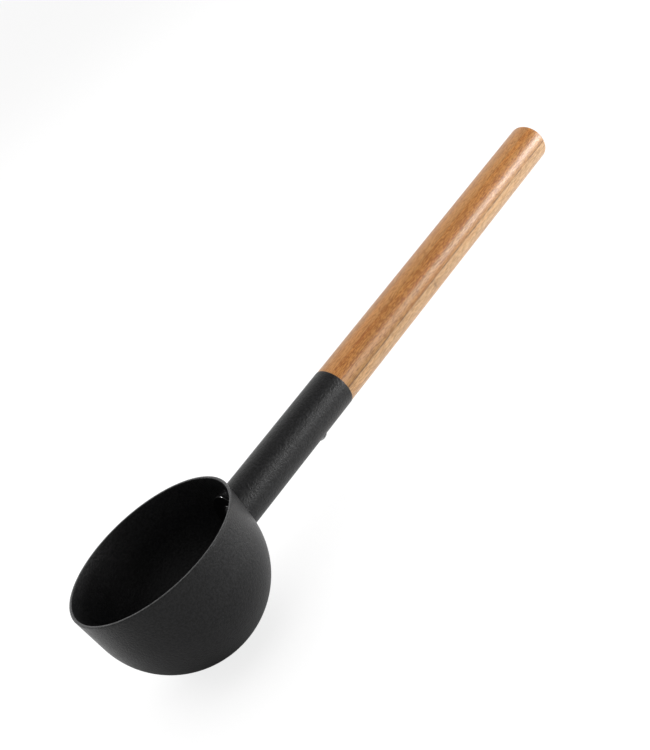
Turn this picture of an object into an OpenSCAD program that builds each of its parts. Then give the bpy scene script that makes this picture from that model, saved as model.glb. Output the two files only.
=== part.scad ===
// Long-handled ladle: a round-bottomed metal bowl, a tube socket and a laminated bamboo handle.
//
// The frame's origin is on the handle's axis, at the open end of the socket.
// +X runs out along the handle, +Z is up out of the bowl's mouth, and the bowl lies on the -X side.

/* [Bowl] */
// Outside diameter at the rim
mouth_d = 102; // [90:1:120]
// Thickness of the bowl's sheet
bowl_wall = 1.6; // [1.2:0.1:2]
// Height of the straight collar between the rim and the round bottom
collar_h = 22; // [16:1:30]
// How far the collar leans in towards the bottom, in degrees
collar_taper = 2.5; // [1:0.5:5]
// Radius on the two edges of the rim
rim_round = 0.5; // [0.3:0.1:0.55]

/* [Socket] */
// Outside diameter of the socket tube
tube_d = 25.4; // [25:0.1:28]
// Wall thickness of the socket tube
tube_wall = 1.5; // [1:0.1:2]
// Distance from the bowl's axis to the open end of the socket
socket_reach = 144; // [130:1:170]
// Height of the rim above the handle's axis
rim_above_axis = 25; // [20:1:30]
// Length of the threaded plug that closes the socket's bowl end
plug_length = 14; // [10:1:20]

/* [Handle] */
// Diameter of the bamboo handle
handle_d = 25; // [22:0.5:25]
// Length of handle outside the socket
handle_length = 231; // [180:1:300]
// Radius on the handle's free end
handle_end_round = 3; // [1:0.5:6]
// Length of the turned-down tenon inside the socket
tenon_length = 60; // [40:1:70]
// Thickness of one bamboo strip
strip_t = 6; // [5:0.5:7]
// Turn of the strips about the handle's axis, in degrees
strip_turn = -10; // [-45:5:45]

/* [Fasteners] */
// Thread diameter of the screw through the bowl wall
bowl_screw_d = 6; // [5:1:6]
// Length of that screw under its head
bowl_screw_length = 16; // [12:1:20]
// Thickness of the pressed washer inside the bowl
washer_t = 1.5; // [1:0.1:2]
// Distance from the socket's open end to the retaining screw
retainer_inset = 26; // [15:1:40]
// Thread diameter of the retaining screw
retainer_d = 4; // [3.5:0.1:5]
// Length of that screw under its head
retainer_length = 13; // [10:0.5:16]

/* [Hidden] */

$fn = 96;
mouth_r = mouth_d / 2;
tube_bore_r = tube_d / 2 - tube_wall;

// The round bottom is part of a ball, centred on the bowl's axis and tangent to the collar
ball_r = (mouth_r - collar_h * tan(collar_taper)) / cos(collar_taper);
ball_z = ball_r * sin(collar_taper) - collar_h;
seam_proud = 0.01;

// Radius of the bowl's inside face where the handle's axis crosses it
seat_r = sqrt(pow(ball_r + seam_proud - bowl_wall, 2) - pow(rim_above_axis + ball_z, 2));

bowl_screw_head_d = 1.75 * bowl_screw_d;
bowl_screw_head_h = 0.55 * bowl_screw_d;
hex_key_w = 0.66 * bowl_screw_d;
screw_clearance = 0.4;

// The flat under the screw's head is as far in as the edges of the head reach on the curved washer
screw_seat_d = bowl_screw_head_d + 1;
screw_seat_x = sqrt(pow(seat_r - washer_t, 2) - pow(screw_seat_d / 2, 2));

retainer_head_d = 1.9 * retainer_d;
retainer_head_h = 0.56 * retainer_d;
retainer_point = 3;
cross_slot_w = 0.9;

tenon_gap = 0.05;
tenon_r = tube_bore_r - tenon_gap;

// Half-width of the block that cuts one strip out of the turned handle
strip_cut_w = handle_d;
metal_colour = [0.16, 0.16, 0.17];
screw_colour = [0.10, 0.10, 0.11];
plug_colour = [0.72, 0.73, 0.75];
strip_colours = [
    [0.80, 0.60, 0.40], [0.83, 0.64, 0.44], [0.78, 0.56, 0.35], [0.68, 0.46, 0.27], [0.74, 0.53, 0.34]
];

// ---- Frames ----

// Moves a shape from the centre of the bowl's mouth to its place in the ladle
module at_mouth() {
    translate([-socket_reach, 0, rim_above_axis]) children();
}

// Lays a shape that stands on Z along the handle, starting at the height x on the handle's axis
module along_handle(x) {
    translate([x, 0, 0]) rotate([0, 90, 0]) children();
}

// ---- Bowl ----

// Point where the collar meets the ball, for a face that lies inset inside the outer one
function join_point(inset) =
    [(ball_r - inset) * cos(collar_taper), ball_z - (ball_r - inset) * sin(collar_taper)];

// Radius of that face's collar at the height z
function collar_r(inset, z) = mouth_r - inset / cos(collar_taper) + z * tan(collar_taper);

// What is trimmed off one edge of the rim, whose rounding starts at the radius edge_r on the rim's
// top; side is 1 for the outer edge and -1 for the inner one
module rim_trim(edge_r, side) {
    arc = [
        for (a = [0:15:90])
            [edge_r + side * rim_round * sin(a), rim_round * (cos(a) - 1)]
    ];
    past_wall = edge_r + side * bowl_wall;
    polygon(concat(arc, [[past_wall, -rim_round], [past_wall, 1], [edge_r, 1]]));
}

// The solid inside the bowl's outer face, or inside a face that lies inset within it. The ball stands
// a hair proud of the tangent, so that its face crosses the collar's cleanly.
module bowl_solid(inset = 0, top = 0) {
    join = join_point(inset);
    rotate_extrude()
        polygon([[0, top], [collar_r(inset, top), top], join, [0, join[1] - ball_r / 2]]);
    rotate_extrude() intersection() {
        translate([0, ball_z]) circle(r = ball_r - inset + seam_proud);
        translate([0, -mouth_d]) square([mouth_d, mouth_d - collar_h / 2]);
    }
}

// The hole for the bowl screw, from the bowl's axis out through its side
module bowl_screw_hole(d) {
    along_handle(-socket_reach) cylinder(d = d, h = mouth_r + plug_length + 1);
}

module bowl() {
    color(metal_colour)
    difference() {
        at_mouth() bowl_solid();
        at_mouth() bowl_solid(bowl_wall, 1);
        at_mouth() rotate_extrude() rim_trim(collar_r(0, -rim_round) - rim_round, 1);
        at_mouth() rotate_extrude() rim_trim(collar_r(bowl_wall, -rim_round) + rim_round, -1);
        bowl_screw_hole(bowl_screw_d + screw_clearance);
    }
}

// ---- Fastening of the bowl ----

// A screw head with a short straight edge and a domed top, standing on z = 0
module domed_head(d, h) {
    skirt = 0.2 * h;
    dome_h = h - skirt;
    dome_r = (d * d / 4 + dome_h * dome_h) / (2 * dome_h);
    cylinder(d = d, h = skirt);
    intersection() {
        translate([0, 0, h - dome_r]) sphere(r = dome_r);
        translate([0, 0, skirt]) cylinder(d = d, h = h);
    }
}

// Pressed disc as wide as the socket, curved to lie on the bowl's inside face
module clamp_washer() {
    color(screw_colour)
    difference() {
        union() {
            intersection() {
                along_handle(-socket_reach) cylinder(d = tube_d, h = mouth_r);
                difference() {
                    at_mouth() bowl_solid(bowl_wall, 1);
                    at_mouth() bowl_solid(bowl_wall + washer_t, 2);
                }
            }
            intersection() {
                along_handle(screw_seat_x - socket_reach) cylinder(d = screw_seat_d, h = mouth_r);
                at_mouth() bowl_solid(bowl_wall, 1);
            }
        }
        bowl_screw_hole(bowl_screw_d + screw_clearance);
    }
}

// Button-head screw, driven from inside the bowl
module bowl_screw() {
    color(screw_colour)
    translate([screw_seat_x - socket_reach, 0, 0]) rotate([0, -90, 0])
    difference() {
        union() {
            domed_head(bowl_screw_head_d, bowl_screw_head_h);
            translate([0, 0, -bowl_screw_length]) cylinder(d = bowl_screw_d, h = bowl_screw_length);
        }
        translate([0, 0, bowl_screw_head_h / 2])
            cylinder(d = hex_key_w / cos(30), h = bowl_screw_head_h, $fn = 6);
    }
}

// ---- Socket ----

module socket_tube() {
    color(metal_colour)
    difference() {
        along_handle(-socket_reach) cylinder(d = tube_d, h = socket_reach);
        along_handle(-socket_reach - 1) cylinder(r = tube_bore_r, h = socket_reach + 2);
        at_mouth() bowl_solid();
        translate([-retainer_inset, 0, -tube_d])
            cylinder(d = retainer_d, h = tube_d);
    }
}

// Turned plug, pressed into the tube and cut with it to lie on the bowl's outside face
module socket_plug() {
    color(plug_colour)
    difference() {
        along_handle(-socket_reach) cylinder(r = tube_bore_r, h = mouth_r + plug_length);
        at_mouth() bowl_solid();
        bowl_screw_hole(bowl_screw_d);
    }
}

// Pan-head screw, up through the underside of the socket into the bamboo
module retaining_screw() {
    color(screw_colour)
    translate([-retainer_inset, 0, -tube_d / 2]) rotate([180, 0, 0])
    difference() {
        union() {
            domed_head(retainer_head_d, retainer_head_h);
            translate([0, 0, retainer_point - retainer_length])
                cylinder(d = retainer_d, h = retainer_length - retainer_point);
            translate([0, 0, -retainer_length])
                cylinder(d1 = 0.2 * retainer_d, d2 = retainer_d, h = retainer_point);
        }
        for (turn = [0, 90])
            rotate([0, 0, turn])
                translate([-retainer_head_d / 4, -cross_slot_w / 2, retainer_head_h / 3])
                    cube([retainer_head_d / 2, cross_slot_w, retainer_head_h]);
    }
}

// ---- Handle ----

// Half outline of the turned handle, from the end of its tenon to its rounded free end
module handle_outline() {
    translate([0, -tenon_length]) square([tenon_r, tenon_length]);
    square([handle_d / 2, handle_length - handle_end_round]);
    square([handle_d / 2 - handle_end_round, handle_length]);
    intersection() {
        translate([handle_d / 2 - handle_end_round, handle_length - handle_end_round])
            circle(r = handle_end_round);
        square([handle_d, handle_length]);
    }
}

// The whole turned blank, with the pilot hole that the retaining screw has cut
module handle_blank() {
    difference() {
        along_handle(0) rotate_extrude() handle_outline();
        translate([-retainer_inset, 0, 0]) mirror([0, 0, 1]) {
            pilot_top = tube_d / 2 - retainer_length;
            translate([0, 0, pilot_top + retainer_point]) cylinder(d = retainer_d, h = tube_d);
            translate([0, 0, pilot_top])
                cylinder(d1 = 0.2 * retainer_d, d2 = retainer_d, h = retainer_point);
        }
    }
}

// One glued strip of the blank, from the height low to the height high across the strips
module bamboo_strip(low, high) {
    intersection() {
        handle_blank();
        rotate([strip_turn, 0, 0])
            translate([-tenon_length - 1, -strip_cut_w, low])
                cube([tenon_length + handle_length + 2, 2 * strip_cut_w, high - low]);
    }
}

module bamboo_strip_bottom() { color(strip_colours[0]) bamboo_strip(-handle_d, -1.5 * strip_t); }
module bamboo_strip_lower() { color(strip_colours[1]) bamboo_strip(-1.5 * strip_t, -0.5 * strip_t); }
module bamboo_strip_middle() { color(strip_colours[2]) bamboo_strip(-0.5 * strip_t, 0.5 * strip_t); }
module bamboo_strip_upper() { color(strip_colours[3]) bamboo_strip(0.5 * strip_t, 1.5 * strip_t); }
module bamboo_strip_top() { color(strip_colours[4]) bamboo_strip(1.5 * strip_t, handle_d); }

bowl();
clamp_washer();
bowl_screw();
socket_tube();
socket_plug();
retaining_screw();
bamboo_strip_bottom();
bamboo_strip_lower();
bamboo_strip_middle();
bamboo_strip_upper();
bamboo_strip_top();
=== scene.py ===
import math

import bmesh
import bpy
import numpy as np
from mathutils import Matrix, Vector


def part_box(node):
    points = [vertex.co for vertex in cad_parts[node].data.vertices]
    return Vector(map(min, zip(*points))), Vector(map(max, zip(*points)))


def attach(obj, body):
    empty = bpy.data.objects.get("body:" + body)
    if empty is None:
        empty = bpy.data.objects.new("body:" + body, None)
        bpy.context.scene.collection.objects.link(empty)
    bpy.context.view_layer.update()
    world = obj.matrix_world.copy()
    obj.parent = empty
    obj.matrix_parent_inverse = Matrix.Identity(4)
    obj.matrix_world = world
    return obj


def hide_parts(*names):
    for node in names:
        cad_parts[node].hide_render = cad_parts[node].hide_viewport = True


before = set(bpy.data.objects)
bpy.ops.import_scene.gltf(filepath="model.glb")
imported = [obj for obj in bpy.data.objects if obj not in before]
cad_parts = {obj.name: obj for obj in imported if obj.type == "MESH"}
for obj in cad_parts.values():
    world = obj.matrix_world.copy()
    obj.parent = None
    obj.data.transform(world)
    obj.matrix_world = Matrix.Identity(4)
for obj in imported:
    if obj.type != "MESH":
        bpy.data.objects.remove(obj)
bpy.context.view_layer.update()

# ---- Bowl ----
# The bowl is drawn from aluminium sheet: a short collar that leans in a little, then a ball.
# Its rim is cut level and its two edges are rounded over. It is powder coated in a fine matt
# black, inside and out. Along the rim the coat is painted paler: partly wear from use, partly a
# painted highlight on the rim's rounded edges.

mm = 0.001
bowl_low, bowl_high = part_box("bowl")
bowl_x = (bowl_low.x + bowl_high.x) / 2
rim_z = bowl_high.z
mouth_r = (bowl_high.x - bowl_low.x) / 2
sheet_t = 1.6 * mm
rim_round = 0.5 * mm
rim_pale_band = 1.0 * mm
bowl_columns = 256
collar_h = 22 * mm
collar_lean = math.radians(2.5)
ball_r = (mouth_r - collar_h * math.tan(collar_lean)) / math.cos(collar_lean)
ball_z = rim_z - collar_h + ball_r * math.sin(collar_lean)


def bowl_radius(height, inset=0.0):
    """Radius of the bowl's outer face, or of a face that lies inset within it, at each height.

    Above the join it is the collar's cone. Below, it is the ball: the square root of its radius
    squared less the square of the height above its centre.
    """
    join_z = ball_z - (ball_r - inset) * math.sin(collar_lean)
    cone = mouth_r - inset / math.cos(collar_lean) + (height - rim_z) * math.tan(collar_lean)
    ball = np.sqrt(np.maximum((ball_r - inset) ** 2 - (height - ball_z) ** 2, 0))
    return np.where(height > join_z, cone, ball)


def arc(centre, radius, first, last, steps):
    """Points on a circle's arc from the angle first to the angle last, in degrees."""
    angle = np.radians(np.linspace(first, last, steps))
    return np.stack([centre[0] + radius * np.cos(angle), centre[1] + radius * np.sin(angle)], 1)


def run(first, last, steps):
    """Points on the straight line from first to last."""
    share = np.linspace(0, 1, steps)[:, None]
    return np.asarray(first) * (1 - share) + np.asarray(last) * share


def bowl_outline():
    """Section of the bowl's wall, as (radius, height).

    It goes up the outside of the ball and the collar, over the rim, and down the inside.
    """
    lean = -math.degrees(collar_lean)
    edge_z = rim_z - rim_round
    outer_r = float(bowl_radius(edge_z))
    inner_r = float(bowl_radius(edge_z, sheet_t))
    outside = arc((0, ball_z), ball_r, -90, lean, 60)
    inside = arc((0, ball_z), ball_r - sheet_t, lean, -90, 60)
    outer_edge = arc((outer_r - rim_round, edge_z), rim_round, 0, 90, 7)
    inner_edge = arc((inner_r + rim_round, edge_z), rim_round, 90, 180, 7)
    up = run(outside[-1], outer_edge[0], 12)[1:-1]
    down = run(inner_edge[-1], inside[0], 12)[1:-1]
    return np.concatenate([outside, up, outer_edge, inner_edge, down, inside])


def turned(outline, columns):
    """Carries an outline round the bowl's axis, out by its radius and up by its height."""
    turn = np.linspace(0, 2 * np.pi, columns + 1)
    radius, height = outline[:, :1], outline[:, 1:]
    around = [bowl_x + radius * np.cos(turn), radius * np.sin(turn), height + 0 * turn]
    return np.stack(around, -1)


def skin(name, grid, edge):
    """A piece from a grid of points, rows by columns: each cell is a face.

    Points that meet, at a seam or at a pole, are welded. edge says how near each point is to a
    worn edge or to a painted highlight, from 0 to 1. Faces that meet at more than the crease's
    angle keep a sharp edge.
    """
    weld = 0.001 * mm
    crease = math.radians(35)
    rows, columns = grid.shape[:2]
    number = np.arange(rows * columns).reshape(rows, columns)
    corners = [number[:-1, :-1], number[:-1, 1:], number[1:, 1:], number[1:, :-1]]
    mesh = bpy.data.meshes.new(name)
    mesh.from_pydata(grid.reshape(-1, 3), [], np.stack(corners, -1).reshape(-1, 4))
    worn = mesh.attributes.new("edge", "FLOAT", "POINT")
    worn.data.foreach_set("value", np.clip(edge, 0, 1).astype(np.float32).reshape(-1))
    shell = bmesh.new()
    shell.from_mesh(mesh)
    bmesh.ops.remove_doubles(shell, verts=shell.verts, dist=weld)
    bmesh.ops.recalc_face_normals(shell, faces=shell.faces)
    shell.to_mesh(mesh)
    shell.free()
    mesh.shade_smooth()
    mesh.set_sharp_from_angle(angle=crease)
    piece = bpy.data.objects.new(name, mesh)
    bpy.context.scene.collection.objects.link(piece)
    return piece


def node(tree, kind, feeds=None, **settings):
    """A shader node. feeds gives each input a value, or the output that is linked to it."""
    made = tree.nodes.new("ShaderNode" + kind)
    for name, value in settings.items():
        setattr(made, name, value)
    for name, value in (feeds or {}).items():
        if isinstance(value, bpy.types.NodeSocket):
            tree.links.new(value, made.inputs[name])
        else:
            made.inputs[name].default_value = value
    return made


def sums(tree, operation, *terms, clamp=False):
    """The result of one step of arithmetic on the terms."""
    made = node(tree, "Math", dict(enumerate(terms)), operation=operation, use_clamp=clamp)
    return made.outputs[0]


def vector_sums(tree, operation, first, second, gives="Vector"):
    """The result of one step of arithmetic on two vectors, a Vector or a Value."""
    return node(tree, "VectorMath", {0: first, 1: second}, operation=operation).outputs[gives]


def fade(tree, value, start, end, first=0.0, last=1.0):
    """first up to start, last from end on, and a smooth passage between them."""
    feeds = {"Value": value, "From Min": start, "From Max": end, "To Min": first, "To Max": last}
    return node(tree, "MapRange", feeds, interpolation_type="SMOOTHSTEP").outputs["Result"]


def noise(tree, place, scale, detail=2.0, roughness=0.5):
    """Cloudy noise about 0.5. scale is in cells per metre, one number or one for each direction."""
    if isinstance(scale, tuple):
        place = vector_sums(tree, "MULTIPLY", place, scale)
        scale = 1.0
    feeds = {"Vector": place, "Scale": scale, "Detail": detail, "Roughness": roughness}
    return node(tree, "TexNoise", feeds).outputs["Fac"]


def blend(tree, share, first, last):
    """The colour between first, where share is 0, and last, where it is 1."""
    made = node(tree, "Mix", data_type="RGBA")
    sockets = {socket.name: socket for socket in made.inputs if socket.enabled}
    for name, value in {"Factor": share, "A": first, "B": last}.items():
        if isinstance(value, bpy.types.NodeSocket):
            tree.links.new(value, sockets[name])
        else:
            sockets[name].default_value = value
    return next(output for output in made.outputs if output.enabled)


def new_effect(name, takes, gives):
    """An empty node group with the named inputs and outputs, each given as its kind of socket."""
    group = bpy.data.node_groups.new(name, "ShaderNodeTree")
    for label, kind in takes.items():
        group.interface.new_socket(name=label, in_out="INPUT", socket_type="NodeSocket" + kind)
    for label, kind in gives.items():
        group.interface.new_socket(name=label, in_out="OUTPUT", socket_type="NodeSocket" + kind)
    entry = group.nodes.new("NodeGroupInput")
    way_out = group.nodes.new("NodeGroupOutput")
    return group, entry.outputs, way_out.inputs


def effect(tree, group, feeds):
    """Places a node group in a material, with its own values, and gives its outputs."""
    return node(tree, "Group", feeds, node_tree=group).outputs


def new_finish(name, **constants):
    """A material with one Principled shader. The constants are the same all over the piece."""
    material = bpy.data.materials.new(name)
    material.use_nodes = True
    shader = material.node_tree.nodes["Principled BSDF"]
    for label, value in constants.items():
        shader.inputs[label.replace("_", " ")].default_value = value
    return material, material.node_tree


def feed(tree, **outputs):
    """Links outputs to the Principled shader's sockets of those names."""
    shader = tree.nodes["Principled BSDF"]
    for label, output in outputs.items():
        tree.links.new(output, shader.inputs[label.replace("_", " ")])


def relief(tree, height, strength, distance):
    """The normal of a surface that a height of 0 to 1 raises by up to the distance."""
    feeds = {"Strength": strength, "Distance": distance, "Height": height}
    return node(tree, "Bump", feeds).outputs["Normal"]


def edge_mask(tree):
    """How near a point is to a worn edge or to a painted highlight, as skin keeps it."""
    return node(tree, "Attribute", attribute_name="edge").outputs["Fac"]


def piece_place(tree):
    """The place of a point on its piece, in metres."""
    return node(tree, "TexCoord").outputs["Object"]


# Powder grain: the pebbled skin of a fine powder coat, small pebbles on slow waves
powder_grain, grain_in, grain_out = new_effect(
    "powder grain", {"Vector": "Vector", "Pebble": "Float"}, {"Height": "Float", "Tone": "Float"}
)
pebbles = noise(powder_grain, grain_in["Vector"], grain_in["Pebble"], 2.0, 0.55)
waves = noise(powder_grain, grain_in["Vector"], 850.0, 2.0, 0.6)
grain_height = sums(powder_grain, "MULTIPLY_ADD", pebbles, 0.35, waves)
grain_tone = sums(powder_grain, "MULTIPLY", waves, 0.6)
grain_tone = sums(powder_grain, "MULTIPLY_ADD", pebbles, 0.4, grain_tone)
grain_tone = fade(powder_grain, grain_tone, 0.38, 0.62)
powder_grain.links.new(grain_height, grain_out["Height"])
powder_grain.links.new(grain_tone, grain_out["Tone"])

# Handling: the slow changes of gloss that hands, cloths and water leave on a surface
handling, handling_in, handling_out = new_effect("handling", {"Vector": "Vector"}, {"Rub": "Float"})
wiped = noise(handling, handling_in["Vector"], 38.0, 3.0, 0.6)
smeared = noise(handling, handling_in["Vector"], (160.0, 60.0, 110.0), 4.0, 0.65)
rub = sums(handling, "MULTIPLY_ADD", wiped, 0.6, sums(handling, "MULTIPLY", smeared, 0.4))
handling.links.new(fade(handling, rub, 0.34, 0.66), handling_out["Rub"])

# Edge wear and painted highlight: where the mask called edge is near 1 the finish is made paler,
# in an uneven line. Mostly this is the finish rubbed off; on the bowl's rim it is partly a painted
# highlight, and on the washer's edge it is a painted glint.
edge_wear_and_highlight, wear_in, wear_out = new_effect(
    "edge wear and highlight", {"Vector": "Vector", "Edge": "Float", "Amount": "Float"}, {"Wear": "Float"}
)
uneven = noise(edge_wear_and_highlight, wear_in["Vector"], 650.0, 4.0, 0.7)
reached = sums(edge_wear_and_highlight, "SUBTRACT", uneven, 1.05)
reached = sums(edge_wear_and_highlight, "MULTIPLY_ADD", wear_in["Edge"], 0.9, reached)
bared = fade(edge_wear_and_highlight, reached, 0.0, 0.45)
edge_wear_and_highlight.links.new(sums(edge_wear_and_highlight, "MULTIPLY", bared, wear_in["Amount"]), wear_out["Wear"])

matt_black, tree = new_finish("matt_black_powder_coat", IOR=1.5, Specular_IOR_Level=0.5)
place = piece_place(tree)
near_edge = edge_mask(tree)
grain = effect(tree, powder_grain, {"Vector": place, "Pebble": 2300.0})
rub_and_glint = effect(tree, handling, {"Vector": place})["Rub"]
wear_and_highlight = effect(tree, edge_wear_and_highlight, {"Vector": place, "Edge": near_edge, "Amount": 0.8})["Wear"]
coat_colour = blend(tree, grain["Tone"], (0.008, 0.008, 0.0085, 1), (0.026, 0.026, 0.027, 1))
# Paler where worn, at the rim and the tube's open end; on the rim's edges it is also a painted
# highlight
coat_colour = blend(tree, wear_and_highlight, coat_colour, (0.11, 0.11, 0.112, 1))
coat_gloss = sums(tree, "MULTIPLY_ADD", rub_and_glint, -0.05, 0.38)
coat_gloss = sums(tree, "MULTIPLY_ADD", grain["Tone"], 0.06, coat_gloss)
coat_gloss = sums(tree, "MULTIPLY_ADD", wear_and_highlight, -0.15, coat_gloss)
pitted = relief(tree, grain["Height"], 1.0, 0.32 * mm)
feed(tree, Base_Color=coat_colour, Roughness=coat_gloss, Normal=pitted)

outline = bowl_outline()
rim_edge = 1 - (rim_z - outline[:, 1:]) / rim_pale_band + np.zeros(bowl_columns + 1)
bowl = skin("bowl_shell", turned(outline, bowl_columns), rim_edge)
bowl.data.materials.append(matt_black)
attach(bowl, "root")
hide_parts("bowl")

# ---- Clamp washer and bowl screw ----
# A steel disc, pressed to the curve of the bowl's inside, spreads the pull of one button-head
# screw, which is driven outwards through the bowl into the socket's plug. Both are blackened.
# Near the top of the washer's edge a spot of bright bare steel is a painted glint.

washer_low, washer_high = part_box("clamp_washer")
screw_low, screw_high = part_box("bowl_screw")
washer_r = (washer_high.y - washer_low.y) / 2
washer_t = 1.5 * mm
washer_round = 0.35 * mm
shank_r = 3.0 * mm
hole_r = shank_r + 0.2 * mm
head_r = (screw_high.y - screw_low.y) / 2
head_h = 3.3 * mm
seat_x = screw_low.x + head_h
seat_edge_r = head_r + 0.5 * mm
hex_half_w = 1.98 * mm
hex_depth = 1.65 * mm
screw_length = 16.0 * mm
screw_point = 0.8 * mm
screw_tip_r = 2.2 * mm


def about_handle(radius, turn, place_x):
    """Points at a radius and a turn about the handle's axis, at the places place_x along it."""
    return np.stack([place_x + 0 * turn, radius * np.cos(turn), radius * np.sin(turn)], -1)


def on_bowl(radius, turn, inset):
    """Where lines parallel to the handle's axis meet the bowl's face that lies inset within it."""
    across, height = radius * np.cos(turn), radius * np.sin(turn)
    return bowl_x + np.sqrt(bowl_radius(height, inset) ** 2 - across**2)


def washer_grid(columns=144):
    """The washer's section carried round the screw.

    Its back lies on the bowl's inside face. Its front is the same face moved in by the washer's
    thickness, but is flat under the screw's head. The outer edge is rounded over, and its mask is
    a bell curve of the turn about one place near the top: a painted glint of bright bare steel.
    """
    turn = np.linspace(0, 2 * np.pi, columns + 1)
    back = np.linspace(hole_r, washer_r, 16)[:, None]
    over = np.radians(np.linspace(0, 90, 7))[:, None]
    edge = washer_r - washer_round * (1 - np.cos(over))
    front = np.concatenate([
        np.linspace(washer_r - washer_round, seat_edge_r + 0.25 * mm, 12),
        np.linspace(seat_edge_r, hole_r, 7),
    ])[:, None]
    x_back = on_bowl(back, turn, sheet_t)
    depth = washer_t - washer_round * (1 - np.sin(over))
    x_edge = on_bowl(edge, turn, sheet_t + washer_t) + (washer_t - depth)
    x_front = on_bowl(front, turn, sheet_t + washer_t)
    x_front = np.where(front > seat_edge_r, x_front, seat_x + 0 * x_front)
    radius = np.concatenate([back, edge, front, back[:1]])
    x = np.concatenate([x_back, x_edge, x_front, x_back[:1]])
    # The painted glint: this spot of the edge is painted as bright bare steel, for the back light
    # to catch
    glint_turn = 1.70
    glint_spread = 0.13
    rub_and_glint = 0.25 + 0.75 * np.exp(-(((turn - glint_turn) / glint_spread) ** 2))
    near = np.concatenate([0 * x_back, rub_and_glint + 0 * x_edge, 0 * x_front, 0 * x_back[:1]])
    return about_handle(radius, turn, x), near


def head_dome(radius, outer_r, height, skirt):
    """Height of a domed head at a radius: a ball that meets the top of its straight skirt.

    The ball's radius is the sum of the squares of the outer radius and of the dome's rise, over
    twice the rise.
    """
    rise = height - skirt
    dome_r = (outer_r**2 + rise**2) / (2 * rise)
    return height - dome_r + np.sqrt(np.maximum(dome_r**2 - radius**2, 0))


def thread(turn, along, outer_r, pitch, depth):
    """Radius of a screw thread: the outer radius less a triangle wave that winds along it."""
    wave = np.abs(((along / pitch - turn / (2 * np.pi)) % 1) * 2 - 1)
    return outer_r - depth * wave


def bowl_screw_grid(columns=144):
    """The button-head screw, as a section carried round its axis.

    The section goes from the middle of the hex recess out over the head and down the thread.
    The recess is a circle drawn out to a hexagon: its radius at a turn is the half width over
    the cosine of the angle from the middle of the nearest flat.
    """
    turn = np.linspace(0, 2 * np.pi, columns + 1)
    sixth = np.pi / 3
    hexagon = hex_half_w / np.cos((turn + sixth / 2) % sixth - sixth / 2)
    skirt = 0.2 * head_h
    lip = 0.12 * mm
    floor = np.linspace(0, 1, 5)[:, None] * hexagon
    rise = np.linspace(0, 1, 3)[:, None]
    wall = hexagon + 0 * rise
    share = np.linspace(0, 1, 16)[:, None]
    dome = (hexagon + lip) * (1 - share) + (head_r - lip) * share
    over = np.radians(np.linspace(15, 90, 5))[:, None]
    side = head_r - lip * (1 - np.sin(over)) + 0 * turn
    under = np.linspace(head_r, shank_r, 5)[:, None] + 0 * turn
    along = np.linspace(0, screw_length - screw_point, 96)[:, None]
    shank = thread(turn, along, shank_r, pitch=1.0 * mm, depth=0.5 * mm)
    point = np.array([screw_tip_r, 0])[:, None] + 0 * turn
    z_rim = head_dome(hexagon, head_r, head_h, skirt) - lip
    z_wall = (head_h - hex_depth) * (1 - rise) + z_rim * rise
    z_dome = head_dome(dome, head_r, head_h, skirt)
    z_side = np.linspace(skirt, 0, 5)[:, None] + 0 * turn
    z_point = -screw_length + 0 * point
    radius = np.concatenate([floor, wall, dome, side, under, shank, point])
    z_floor = head_h - hex_depth + 0 * floor
    z_shank = -along + 0 * turn
    z = np.concatenate([z_floor, z_wall, z_dome, z_side, 0 * under, z_shank, z_point])
    near_top = np.exp(-(((z - head_h) / (0.5 * mm)) ** 2))
    near_rim = np.exp(-(((radius - head_r) / (0.3 * mm)) ** 2))
    return about_handle(radius, turn, seat_x - z), 0.5 * (near_top + near_rim) * (z > 0)


black_steel, tree = new_finish("blackened_steel", Metallic=0.85, IOR=2.2)
place = piece_place(tree)
near_edge = edge_mask(tree)
rub_and_glint = effect(tree, handling, {"Vector": place})["Rub"]
wear_and_highlight = effect(tree, edge_wear_and_highlight, {"Vector": place, "Edge": near_edge, "Amount": 0.8})["Wear"]
oxide = noise(tree, place, 1700.0, 5.0, 0.7)
clouded = fade(tree, oxide, 0.35, 0.7)
steel_colour = blend(tree, clouded, (0.022, 0.022, 0.024, 1), (0.045, 0.044, 0.044, 1))
# Bright bare steel: worn screw edges, and on the washer's edge a painted glint
steel_colour = blend(tree, wear_and_highlight, steel_colour, (0.80, 0.80, 0.81, 1))
steel_gloss = sums(tree, "MULTIPLY_ADD", rub_and_glint, -0.08, 0.36)
steel_gloss = sums(tree, "MULTIPLY_ADD", oxide, 0.10, steel_gloss)
steel_gloss = sums(tree, "MULTIPLY_ADD", wear_and_highlight, -0.12, steel_gloss)
etched = relief(tree, oxide, 0.3, 0.01 * mm)
feed(tree, Base_Color=steel_colour, Roughness=steel_gloss, Normal=etched)

washer = skin("pressed_clamp_washer", *washer_grid())
bowl_screw = skin("button_head_bowl_screw", *bowl_screw_grid())
for piece, cad_node in ((washer, "clamp_washer"), (bowl_screw, "bowl_screw")):
    piece.data.materials.append(black_steel)
    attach(piece, "root")
    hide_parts(cad_node)

# ---- Socket plug ----
# A turned aluminium plug is pressed into the bowl end of the tube and takes the bowl screw.
# It is closed in by the tube and the bowl, and stays as it comes off the lathe.

turned_metal, tree = new_finish("turned_aluminium", Metallic=1.0)
place = piece_place(tree)
tool_marks = noise(tree, place, (9000.0, 40.0, 40.0), 3.0, 0.6)
dulled = noise(tree, place, 300.0, 3.0, 0.6)
cut_colour = blend(tree, dulled, (0.50, 0.51, 0.53, 1), (0.68, 0.69, 0.70, 1))
cut_gloss = sums(tree, "MULTIPLY_ADD", tool_marks, 0.18, 0.24)
ridged = relief(tree, tool_marks, 0.4, 0.01 * mm)
feed(tree, Base_Color=cut_colour, Roughness=cut_gloss, Normal=ridged)
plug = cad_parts["socket_plug"]
plug.data.materials.clear()
plug.data.materials.append(turned_metal)

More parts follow.
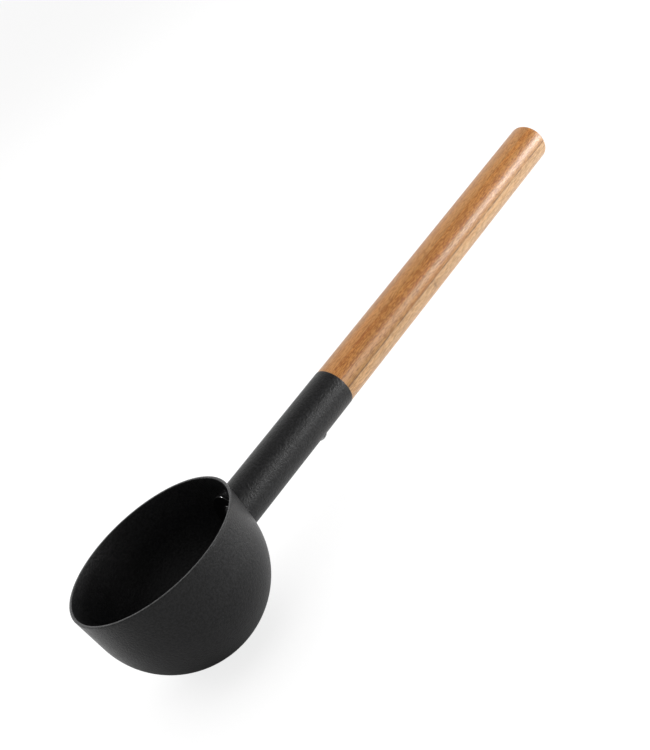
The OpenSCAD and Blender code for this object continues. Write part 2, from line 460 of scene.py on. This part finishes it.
# ---- Socket tube ----
# A length of round tube, coped at one end to stand on the bowl's side. The open end is
# deburred and takes the handle, and the tube has the same coat as the bowl.

tube_low, tube_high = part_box("socket_tube")
tube_r = (tube_high.y - tube_low.y) / 2
bore_r = tube_r - 1.5 * mm
tube_round = 0.35 * mm
tube_worn = 0.9 * mm


def socket_tube_grid(columns=192):
    """The tube's wall: out along the outside, round the open end, back along the bore.

    At the bowl end each line of the tube stops where it meets the bowl's outer face, and the
    outer edge there is broken by a small round.
    """
    turn = np.linspace(0, 2 * np.pi, columns + 1)
    broken = 0.18 * mm
    over = np.radians(np.linspace(0, 90, 7))[:, None]
    share = np.linspace(0, 1, 48)[:, None]
    cope = np.array([0.0, 0.3, 1.0])[:, None]
    r_cope = tube_r - broken * (1 - np.sin(np.pi / 2 * cope))
    x_cope = on_bowl(r_cope, turn, 0) + broken * (1 - np.cos(np.pi / 2 * cope))
    x_out = x_cope[-1:] * (1 - share) - tube_round * share
    r_out = tube_r + 0 * share
    lip = np.concatenate([over, over + np.pi / 2])
    wall_mid = np.concatenate([tube_r - tube_round + 0 * over, bore_r + tube_round + 0 * over])
    r_lip = wall_mid + tube_round * np.cos(lip)
    x_lip = -tube_round + tube_round * np.sin(lip) + 0 * turn
    x_in = -tube_round * (1 - share) + on_bowl(bore_r, turn, 0) * share
    r_in = bore_r + 0 * share
    radius = np.concatenate([r_cope, r_out, r_lip, r_in, r_cope[:1]])
    x = np.concatenate([x_cope, x_out, x_lip, x_in, x_cope[:1]])
    return about_handle(radius, turn, x), 1 + x / tube_worn


tube = skin("coped_socket_tube", *socket_tube_grid())
tube.data.materials.append(matt_black)
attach(tube, "root")
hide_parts("socket_tube")

# ---- Handle ----
# Five strips of bamboo are glued flat on flat, and the blank is turned round, with a tenon
# for the socket and a rounded free end. Each strip has its own tone, and satin varnish goes
# over them all.

handle_r = 12.5 * mm
handle_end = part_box("bamboo_strip_middle")[1].x
tenon_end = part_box("bamboo_strip_middle")[0].x
tenon_r = 11.15 * mm
end_round = 3 * mm
strip_t = 6 * mm
strip_turn = math.radians(-10)


def handle_profile():
    """Radius of the turned handle at places along it: tenon, shoulder, shaft, and a rounded end."""
    over = np.radians(np.linspace(0, 90, 12))
    tenon = np.linspace(tenon_end, 0, 6)
    shaft = np.linspace(0, handle_end - end_round, 60)
    x = np.concatenate([tenon, shaft, handle_end - end_round + end_round * np.sin(over)[1:]])
    rounded = handle_r - end_round * (1 - np.cos(over))[1:]
    return x, np.concatenate([tenon_r + 0 * tenon, handle_r + 0 * shaft, rounded])


def strip_section(radius, low, high, steps=40):
    """Section of the strip that lies between the heights low and high in a round of this radius.

    Each side is the arc between the angles whose sines are low and high over the radius, and
    the arcs are joined by the two glued faces.
    """
    first = np.arcsin(np.clip(low / radius, -1, 1))
    last = np.arcsin(np.clip(high / radius, -1, 1))
    share = np.linspace(0, 1, steps)
    right = first[:, None] * (1 - share) + last[:, None] * share
    angle = np.concatenate([right, np.pi - right[:, ::-1], right[:, :1]], 1)
    return radius[:, None] * np.cos(angle), radius[:, None] * np.sin(angle)


def strip_grid(low, high):
    """One strip: its section carried along the handle, closed at both ends on its middle line."""
    x, radius = handle_profile()
    across, height = strip_section(radius, low, high)
    x = np.concatenate([x[:1], x, x[-1:]])
    across = np.concatenate([0 * across[:1], across, 0 * across[-1:]])
    middle = (height.max(1) + height.min(1))[[0, -1], None] / 2
    height = np.concatenate([middle[:1] + 0 * height[:1], height, middle[1:] + 0 * height[:1]])
    turned_y = across * math.cos(strip_turn) - height * math.sin(strip_turn)
    turned_z = across * math.sin(strip_turn) + height * math.cos(strip_turn)
    grid = np.stack([x[:, None] + 0 * across, turned_y, turned_z], -1)
    return grid, 1 - np.abs(x - handle_end)[:, None] / end_round + 0 * across


# Bamboo: long fibres and streaks that stray a little, short flecks, the dark dots of the vessel
# bundles drawn out along the strip, slow drifts of tone, short pores, a broken dark glue line
# at each face, and one joint of the cane
bamboo, cane_in, cane_out = new_effect(
    "bamboo",
    {"Vector": "Vector", "Seed": "Float", "Low face": "Float", "High face": "Float",
     "Low glue": "Float", "High glue": "Float", "Joint": "Float", "Pale": "Color", "Deep": "Color"},
    {"Color": "Color", "Fibre": "Float", "Dull": "Float"},
)
parts = node(bamboo, "SeparateXYZ", {0: cane_in["Vector"]}).outputs
shift = node(bamboo, "CombineXYZ", {0: cane_in["Seed"], 1: cane_in["Seed"], 2: 0.0}).outputs[0]
here = vector_sums(bamboo, "ADD", cane_in["Vector"], shift)
stray = vector_sums(bamboo, "MULTIPLY", here, (9.0, 90.0, 90.0))
stray = node(bamboo, "TexNoise", {"Vector": stray, "Scale": 1.0, "Detail": 2.0}).outputs["Color"]
stray = vector_sums(bamboo, "SUBTRACT", stray, (0.5, 0.5, 0.5))
stray = vector_sums(bamboo, "MULTIPLY", stray, (0.0, 1.6 * mm, 1.6 * mm))
along = vector_sums(bamboo, "ADD", here, stray)
streaks = noise(bamboo, along, (28.0, 620.0, 620.0), 5.0, 0.66)
fibres = noise(bamboo, along, (190.0, 1600.0, 1600.0), 3.0, 0.65)
drift = noise(bamboo, here, (7.0, 70.0, 70.0), 2.0)
pores = noise(bamboo, along, (85.0, 2100.0, 2100.0), 1.0)
flecks = noise(bamboo, along, (330.0, 2200.0, 2200.0), 2.0, 0.6)
bundles = vector_sums(bamboo, "MULTIPLY", along, (5.0, 1500.0, 1500.0))
bundles = node(bamboo, "TexVoronoi", {"Vector": bundles, "Scale": 1.0}, feature="F1")
bundles = fade(bamboo, bundles.outputs["Distance"], 0.12, 0.42, 1.0, 0.0)
bundles = sums(bamboo, "MULTIPLY", bundles, fade(bamboo, drift, 0.3, 0.7, 0.5, 1.0))
cane_tone = 0.42
for marks, strength in ((streaks, 1.9), (fibres, 5.0), (drift, 2.0), (flecks, 6.5)):
    above_half = sums(bamboo, "SUBTRACT", marks, 0.5)
    cane_tone = sums(bamboo, "MULTIPLY_ADD", above_half, strength, cane_tone)
cane_tone = sums(bamboo, "MULTIPLY_ADD", bundles, 0.20, cane_tone)

glue_breaks = noise(bamboo, cane_in["Vector"], (95.0, 10.0, 10.0), 3.0, 0.6)
glue_breaks = fade(bamboo, glue_breaks, 0.40, 0.58, 0.1, 1.0)
glue_lines = []
for side in ("Low", "High"):
    to_face = sums(bamboo, "SUBTRACT", parts["Z"], cane_in[side + " face"])
    to_face = sums(bamboo, "ABSOLUTE", to_face)
    line = fade(bamboo, to_face, 0.08 * mm, 0.55 * mm, 1.0, 0.0)
    glue_lines.append(sums(bamboo, "MULTIPLY", line, cane_in[side + " glue"]))
glue = sums(bamboo, "MULTIPLY", sums(bamboo, "MAXIMUM", *glue_lines), glue_breaks)

ring = noise(bamboo, cane_in["Vector"], (0.0, 260.0, 260.0), 3.0, 0.6)
ring = sums(bamboo, "MULTIPLY_ADD", sums(bamboo, "SUBTRACT", ring, 0.5), 9 * mm, parts["X"])
to_joint = sums(bamboo, "ABSOLUTE", sums(bamboo, "SUBTRACT", ring, cane_in["Joint"]))
joint_line = fade(bamboo, to_joint, 0.2 * mm, 1.6 * mm, 1.0, 0.0)
joint_flare = fade(bamboo, to_joint, 0.5 * mm, 5.0 * mm, 1.0, 0.0)
cane_tone = sums(bamboo, "MULTIPLY_ADD", joint_flare, 0.6, cane_tone, clamp=True)

cane_colour = blend(bamboo, cane_tone, cane_in["Pale"], cane_in["Deep"])
warmth = fade(bamboo, noise(bamboo, here, (11.0, 240.0, 240.0), 2.0), 0.35, 0.65)
warmth = blend(bamboo, warmth, (1.05, 0.99, 0.90, 1), (0.96, 1.0, 1.04, 1))
cane_colour = vector_sums(bamboo, "MULTIPLY", cane_colour, warmth)
dark = sums(bamboo, "MULTIPLY", glue, 0.95)
dark = sums(bamboo, "MAXIMUM", dark, sums(bamboo, "MULTIPLY", joint_line, 0.35))
dark = sums(bamboo, "MAXIMUM", dark, fade(bamboo, pores, 0.68, 0.80, 0.0, 0.5))
cane_colour = blend(bamboo, dark, cane_colour, (0.16, 0.070, 0.026, 1))
fibre_height = sums(bamboo, "MULTIPLY", sums(bamboo, "ADD", streaks, fibres), 0.5)
fibre_height = sums(bamboo, "MULTIPLY_ADD", dark, -0.4, fibre_height)
bamboo.links.new(cane_colour, cane_out["Color"])
bamboo.links.new(fibre_height, cane_out["Fibre"])
dulled = sums(bamboo, "MULTIPLY", sums(bamboo, "ADD", bundles, dark), 0.5)
bamboo.links.new(dulled, cane_out["Dull"])

# Pale and deep tones of the cane, which is left as cut or is steamed to a tan or a brown
straw = ((0.80, 0.485, 0.235, 1), (0.53, 0.275, 0.11, 1))
honey = ((0.59, 0.285, 0.085, 1), (0.38, 0.15, 0.033, 1))
toffee = ((0.59, 0.26, 0.064, 1), (0.36, 0.12, 0.020, 1))
caramel = ((0.58, 0.275, 0.085, 1), (0.39, 0.155, 0.040, 1))

# Name, slot, place in the stack, seed, where the cane's joint is, tones, and how dark the glue
# is on its low and high faces
strips = (
    ("bottom", "bamboo_light", -2, 1.7, 150 * mm, straw, (0.0, 0.35)),
    ("lower", "bamboo_light", -1, 4.2, 92 * mm, straw, (0.35, 0.8)),
    ("middle", "bamboo_tan", 0, 7.9, -30 * mm, honey, (1.0, 0.3)),
    ("upper", "bamboo_brown", 1, 2.6, -38 * mm, toffee, (0.25, 0.2)),
    ("top", "bamboo_tan", 2, 9.3, -24 * mm, caramel, (0.2, 0.0)),
)
canes = []
for name, slot, step, seed, joint, (pale, deep), (low_glue, high_glue) in strips:
    low = (step - 0.5) * strip_t if step > -2 else -2 * handle_r
    high = (step + 0.5) * strip_t if step < 2 else 2 * handle_r
    cane, tree = new_finish(
        "varnished_bamboo_" + name, IOR=1.5, Specular_IOR_Level=0.2,
        Coat_Weight=0.85, Coat_Roughness=0.37, Coat_IOR=1.5,
    )
    place = node(tree, "Mapping", {"Vector": piece_place(tree), "Rotation": (-strip_turn, 0, 0)})
    place = place.outputs["Vector"]
    wood = effect(tree, bamboo, {
        "Vector": place, "Seed": seed, "Low face": low, "High face": high, "Joint": joint,
        "Low glue": low_glue, "High glue": high_glue, "Pale": pale, "Deep": deep,
    })
    rub_and_glint = effect(tree, handling, {"Vector": place})["Rub"]
    gloss = sums(tree, "MULTIPLY_ADD", rub_and_glint, -0.06, 0.5)
    gloss = sums(tree, "MULTIPLY_ADD", wood["Dull"], 0.15, gloss)
    raised = relief(tree, wood["Fibre"], 0.8, 0.08 * mm)
    feed(tree, Base_Color=wood["Color"], Roughness=gloss, Normal=raised)
    strip = skin("bamboo_" + name + "_cane", *strip_grid(low, high))
    strip.data.materials.append(cane)
    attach(strip, "root")
    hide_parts("bamboo_strip_" + name)
    canes.append(strip)

# ---- Retaining screw ----
# A small pan-head screw with a cross recess goes up through the underside of the tube into
# the tenon, so that the handle can't turn or pull out. It is blackened steel too.

pan_low, pan_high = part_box("retaining_screw")
pan_x = (pan_low.x + pan_high.x) / 2
pan_r = (pan_high.x - pan_low.x) / 2
pan_h = -tube_r - pan_low.z
pan_shank_r = 2.0 * mm
pan_length = pan_high.z + tube_r
pan_point = 3 * mm
pan_lip = 0.1 * mm
cross_half_w = 0.45 * mm
cross_half_l = 1.8 * mm


def pan_screw_grid(columns=160):
    """The pan-head screw, as a section carried round its axis, head down.

    The section goes from the middle of the cross recess out over the head and up the thread,
    which narrows to a point. The recess is sunk where the nearer of two crossed slots says,
    with sides that slope a little.
    """
    turn = np.linspace(0, 2 * np.pi, columns + 1)
    skirt = 0.2 * pan_h
    radius = np.linspace(0, pan_r - pan_lip, 44)[:, None] + 0 * turn
    across, up = np.abs(radius * np.cos(turn)), np.abs(radius * np.sin(turn))
    one_slot = np.maximum(across / cross_half_l, up / cross_half_w)
    other_slot = np.maximum(up / cross_half_l, across / cross_half_w)
    recess = np.clip((1.15 - np.minimum(one_slot, other_slot)) / 0.3, 0, 1)
    top = head_dome(radius, pan_r, pan_h, skirt) - 0.67 * pan_h * recess
    over = np.radians(np.linspace(15, 90, 5))[:, None]
    side = pan_r - pan_lip * (1 - np.sin(over)) + 0 * turn
    under = np.linspace(pan_r, pan_shank_r, 4)[:, None] + 0 * turn
    along = np.linspace(0, pan_length, 90)[:, None]
    narrow = np.clip((pan_length - along) / pan_point, 0, 1)
    shank = thread(turn, along, pan_shank_r, pitch=1.4 * mm, depth=0.55 * mm)
    shank = shank * (0.12 + 0.88 * narrow)
    r = np.concatenate([radius, side, under, shank, 0 * shank[:1]])
    z_side = np.linspace(skirt, 0, 5)[:, None] + 0 * turn
    z_shank = -along + 0 * turn
    z = np.concatenate([top, z_side, 0 * under, z_shank, -pan_length + 0 * shank[:1]])
    near = np.exp(-(((r - pan_r) / (0.3 * mm)) ** 2))
    near[: len(recess)] += 0.7 * (recess > 0) * (recess < 0.6)
    grid = np.stack([pan_x + r * np.cos(turn), r * np.sin(turn), -tube_r - z], -1)
    return grid, near * (z > 0)


pan_screw = skin("pan_head_retaining_screw", *pan_screw_grid())
pan_screw.data.materials.append(black_steel)
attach(pan_screw, "root")
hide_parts("retaining_screw")

# ---- Studio ----
# The ladle stands on a pale, evenly bright floor in a bright surround. What the two throw back
# at the ladle falls away under the bowl and towards the camera, so the black coat stays black.
# On the floor this is painted into its glow: a painted shadow under the bowl, painted shade
# towards the camera and a painted pool of light beyond the bowl.

sight_turn = math.radians(59.588)
sight_drop = math.radians(24.441)
camera_roll = math.radians(37.832)

floor_z = bowl_low.z
floor_half = 12.0
floor_steps = 9
corner = np.linspace(-floor_half, floor_half, floor_steps)
flat = np.full((floor_steps, floor_steps), floor_z)
ground = np.stack(np.meshgrid(corner, corner, indexing="ij") + [flat], -1)
floor = skin("studio_floor", ground[:, ::-1], 0 * flat)
floor_paint, tree = new_finish("pale_lit_floor", Roughness=0.8, Emission_Color=(1, 1, 1, 1))
place = piece_place(tree)
# Centre of the painted shadow on the floor, a little off the bowl's foot, away from the side light
painted_shadow_centre = (bowl_x - 0.025, 0.017, floor_z)
away = (math.cos(sight_turn), math.sin(sight_turn), 0)
from_bowl = vector_sums(tree, "DISTANCE", place, painted_shadow_centre, "Value")
far_side = vector_sums(tree, "DOT_PRODUCT", place, away, "Value")
# Painted light in the floor's glow, for all but camera rays: a painted pool of light beyond the
# bowl, painted shade towards the camera, and a painted shadow round a point just off the bowl's
# foot
painted_floor_glow = fade(tree, far_side, -0.15, 0.06, 0.13, 0.75)
painted_floor_glow = sums(tree, "MULTIPLY", painted_floor_glow, fade(tree, from_bowl, 0.028, 0.068, 0.0, 1.0))
# The camera sees the floor at one brightness, whatever the floor throws back
to_camera = node(tree, "LightPath").outputs["Is Camera Ray"]
lit = sums(tree, "MULTIPLY_ADD", sums(tree, "SUBTRACT", 0.80, painted_floor_glow), to_camera, painted_floor_glow)
paint = blend(tree, noise(tree, place, 3.0, 3.0), (0.29, 0.29, 0.29, 1), (0.31, 0.31, 0.31, 1))
feed(tree, Base_Color=paint, Emission_Strength=lit)
floor.data.materials.append(floor_paint)

ahead = Vector((
    math.cos(sight_drop) * math.cos(sight_turn),
    math.cos(sight_drop) * math.sin(sight_turn),
    -math.sin(sight_drop),
))
level = ahead.cross(Vector((0, 0, 1))).normalized()
rise = level.cross(ahead)
camera_up = math.cos(camera_roll) * rise + math.sin(camera_roll) * level
camera_right = ahead.cross(camera_up)
lens = bpy.data.cameras.new("studio_camera")
lens.lens = 61.107
lens.sensor_width = 36
lens.shift_x = 0.00133
lens.shift_y = 0.03133
camera = bpy.data.objects.new("studio_camera", lens)
bpy.context.scene.collection.objects.link(camera)
facing = Matrix((camera_right, camera_up, -ahead)).transposed().to_4x4()
camera.matrix_world = Matrix.Translation((-0.338113, -0.559780, 0.295427)) @ facing
bpy.context.scene.camera = camera

world = bpy.data.worlds.new("studio_surround")
bpy.context.scene.world = world
world.use_nodes = True
tree = world.node_tree
direction = node(tree, "TexCoord").outputs["Generated"]
behind = vector_sums(tree, "DOT_PRODUCT", direction, tuple(ahead), "Value")
glow = fade(tree, behind, -0.1, 0.70, 0.21, 0.88)
# The camera sees the surround at one brightness too
to_camera = node(tree, "LightPath").outputs["Is Camera Ray"]
glow = sums(tree, "MULTIPLY_ADD", sums(tree, "SUBTRACT", 0.93, glow), to_camera, glow)
background = tree.nodes["Background"]
background.inputs["Color"].default_value = (1, 1, 1, 1)
tree.links.new(glow, background.inputs["Strength"])


def softbox(name, place, aim, width, height, power, lit_only=None):
    """A flat soft light at a place, turned to face its aim. lit_only names all that it lights."""
    lamp = bpy.data.lights.new(name, "AREA")
    lamp.shape = "RECTANGLE"
    lamp.size, lamp.size_y = width, height
    lamp.energy = power
    stand = bpy.data.objects.new(name, lamp)
    bpy.context.scene.collection.objects.link(stand)
    stand.location = place
    stand.rotation_mode = "QUATERNION"
    stand.rotation_quaternion = (Vector(aim) - Vector(place)).to_track_quat("-Z", "Y")
    stand.visible_camera = False
    if lit_only:
        linked = bpy.data.collections.new(name + "_lights")
        for thing in lit_only:
            linked.objects.link(thing)
        stand.light_linking.receiver_collection = linked
    return stand


# Off the free end: the long soft highlight on the handle and the tube
softbox("side_softbox", (0.99, -0.66, 0.05), (0.12, 0, 0), 0.5, 0.2, 5.0)
# To the side: the bowl's right-hand flank
softbox("tall_softbox", (0.45, -0.98, 0.18), (-0.08, 0, 0), 0.16, 0.5, 2.0)
# Low beside the handle: the second highlight, along its lower strips
low_strip = softbox("low_strip", (0.50, -0.26, -0.012), (0.17, 0, 0), 0.30, 0.05, 1.0, canes)
low_strip.visible_diffuse = False
# High behind: the bright spot on the washer's edge
softbox("back_light", (-0.49, 0.84, 0.76), (-0.1, 0, 0), 0.15, 0.15, 2.2, [washer])
# Overhead: an even light on the floor and the handle
overhead = softbox("overhead", (0.0, 0.2, 1.4), (0, 0, 0), 2.4, 2.4, 22.0, [floor, *canes])
overhead.visible_glossy = False

bpy.context.scene.view_settings.view_transform = "Standard"
